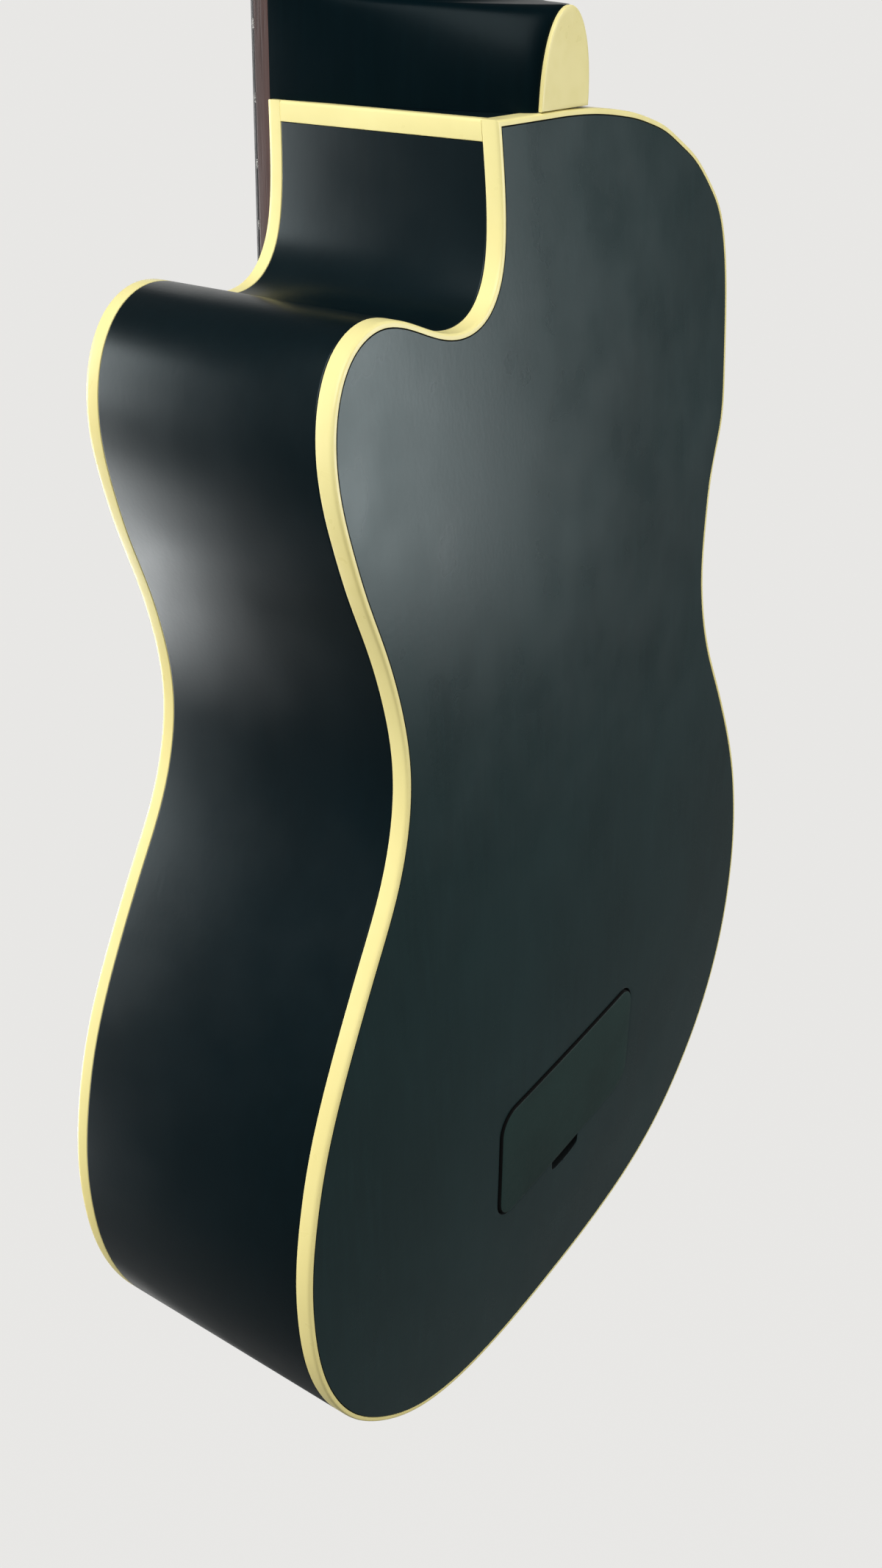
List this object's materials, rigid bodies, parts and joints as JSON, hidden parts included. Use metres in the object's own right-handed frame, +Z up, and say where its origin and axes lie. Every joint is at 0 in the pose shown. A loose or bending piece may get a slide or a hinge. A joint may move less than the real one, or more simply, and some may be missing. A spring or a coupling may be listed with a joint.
{
  "type": "bass ukulele",
  "caption": "Bass ukulele: cutaway body with cream binding, arched back with a lift-out access panel, bolted neck, and open-geared tuners that turn their string posts.",
  "frame": {"origin": "where a hanger's yoke holds the instrument: the middle of the neck's thickness and width, where the headstock starts to widen", "axes": "+Z up along the neck towards the headstock, +X across towards the treble side and the cutaway, +Y from the soundboard towards the back"},
  "size_m": [0.248, 0.097, 0.7655],
  "materials": {
    "satin_black_lacquer": "satin",
    "ivory_binding": "gloss",
    "rosewood": "satin",
    "bare_mahogany": "matte",
    "bare_spruce": "matte",
    "black_plated_metal": "satin",
    "steel": "satin",
    "bone": "satin",
    "black_plastic": "matte",
    "string_polyurethane": "satin",
    "pickup_foil": "satin"
  },
  "bodies": {
    "instrument": {"access_frame": "black_plastic", "back_binding": "ivory_binding", "back_brace_lower": "bare_spruce", "back_brace_middle": "bare_spruce", "back_brace_upper": "bare_spruce", "back_lining_bass": "bare_mahogany", "back_lining_treble": "bare_mahogany", "back_plate": "satin_black_lacquer", "bass_side": "satin_black_lacquer", "bridge": "rosewood", "bridge_plate": "bare_mahogany", "control_plate": "black_plastic", "corner_strip": "ivory_binding", "end_jack": "black_plated_metal", "fingerboard": "rosewood", "front_binding": "ivory_binding", "front_brace_lower": "bare_spruce", "front_brace_upper": "bare_spruce", "front_lining_bass": "bare_mahogany", "front_lining_treble": "bare_mahogany", "heel_cap": "ivory_binding", "neck": "satin_black_lacquer", "neck_block": "bare_mahogany", "neck_bolt": "steel", "nut": "bone", "saddle": "bone", "soundboard": "satin_black_lacquer", "soundhole_ring": "ivory_binding", "string_1": "string_polyurethane", "string_2": "string_polyurethane", "string_3": "string_polyurethane", "string_4": "string_polyurethane", "tail_block": "bare_mahogany", "treble_side": "satin_black_lacquer", "tuner_base_1": "black_plated_metal", "tuner_base_2": "black_plated_metal", "tuner_base_3": "black_plated_metal", "tuner_base_4": "black_plated_metal", "tuner_bushing_1": "black_plated_metal", "tuner_bushing_2": "black_plated_metal", "tuner_bushing_3": "black_plated_metal", "tuner_bushing_4": "black_plated_metal", "under_saddle_pickup": "pickup_foil"},
    "access_panel": {"access_panel": "black_plastic"},
    "volume_wheel": {"volume_wheel": "black_plastic"},
    "tone_wheel": {"tone_wheel": "black_plastic"},
    "button_1": {"tuner_button_1": "black_plated_metal"},
    "post_1": {"tuner_post_1": "steel"},
    "button_2": {"tuner_button_2": "black_plated_metal"},
    "post_2": {"tuner_post_2": "steel"},
    "button_3": {"tuner_button_3": "black_plated_metal"},
    "post_3": {"tuner_post_3": "steel"},
    "button_4": {"tuner_button_4": "black_plated_metal"},
    "post_4": {"tuner_post_4": "steel"}
  },
  "joints": [
    {"name": "button_1_turn", "type": "hinge", "parent": "instrument", "child": "button_1", "pos_m": [0.023, 0.01875, 0.01339], "axis": [1, 0, 0], "continuous": true},
    {"name": "post_1_turn", "type": "hinge", "parent": "instrument", "child": "post_1", "pos_m": [0.023, 0.00101, 0.02723], "axis": [0, -0.9816, 0.1908], "continuous": true},
    {"name": "button_2_turn", "type": "hinge", "parent": "instrument", "child": "button_2", "pos_m": [0.023, 0.02905, 0.0664], "axis": [1, 0, 0], "continuous": true},
    {"name": "post_2_turn", "type": "hinge", "parent": "instrument", "child": "post_2", "pos_m": [0.023, 0.01132, 0.08024], "axis": [0, -0.9816, 0.1908], "continuous": true},
    {"name": "button_3_turn", "type": "hinge", "parent": "instrument", "child": "button_3", "pos_m": [-0.023, 0.02905, 0.0664], "axis": [1, 0, 0], "continuous": true},
    {"name": "post_3_turn", "type": "hinge", "parent": "instrument", "child": "post_3", "pos_m": [-0.023, 0.01132, 0.08024], "axis": [0, -0.9816, 0.1908], "continuous": true},
    {"name": "button_4_turn", "type": "hinge", "parent": "instrument", "child": "button_4", "pos_m": [-0.023, 0.01875, 0.01339], "axis": [1, 0, 0], "continuous": true},
    {"name": "post_4_turn", "type": "hinge", "parent": "instrument", "child": "post_4", "pos_m": [-0.023, 0.00101, 0.02723], "axis": [0, -0.9816, 0.1908], "continuous": true},
    {"name": "panel_lift", "type": "slide", "parent": "instrument", "child": "access_panel", "axis": [0, 1, 0], "range_m": [0, 0.03]},
    {"name": "volume_wheel_turn", "type": "hinge", "parent": "instrument", "child": "volume_wheel", "pos_m": [-0.0355, -0.0017, -0.36913], "axis": [0, 1, 0], "range_deg": [-140, 140]},
    {"name": "tone_wheel_turn", "type": "hinge", "parent": "instrument", "child": "tone_wheel", "pos_m": [-0.0355, -0.0017, -0.38813], "axis": [0, 1, 0], "range_deg": [-140, 140]}
  ],
  "couplings": [
    {"joint": "post_1_turn", "follows": "button_1_turn", "ratio": -0.071429},
    {"joint": "post_2_turn", "follows": "button_2_turn", "ratio": -0.071429},
    {"joint": "post_3_turn", "follows": "button_3_turn", "ratio": 0.071429},
    {"joint": "post_4_turn", "follows": "button_4_turn", "ratio": 0.071429}
  ]
}
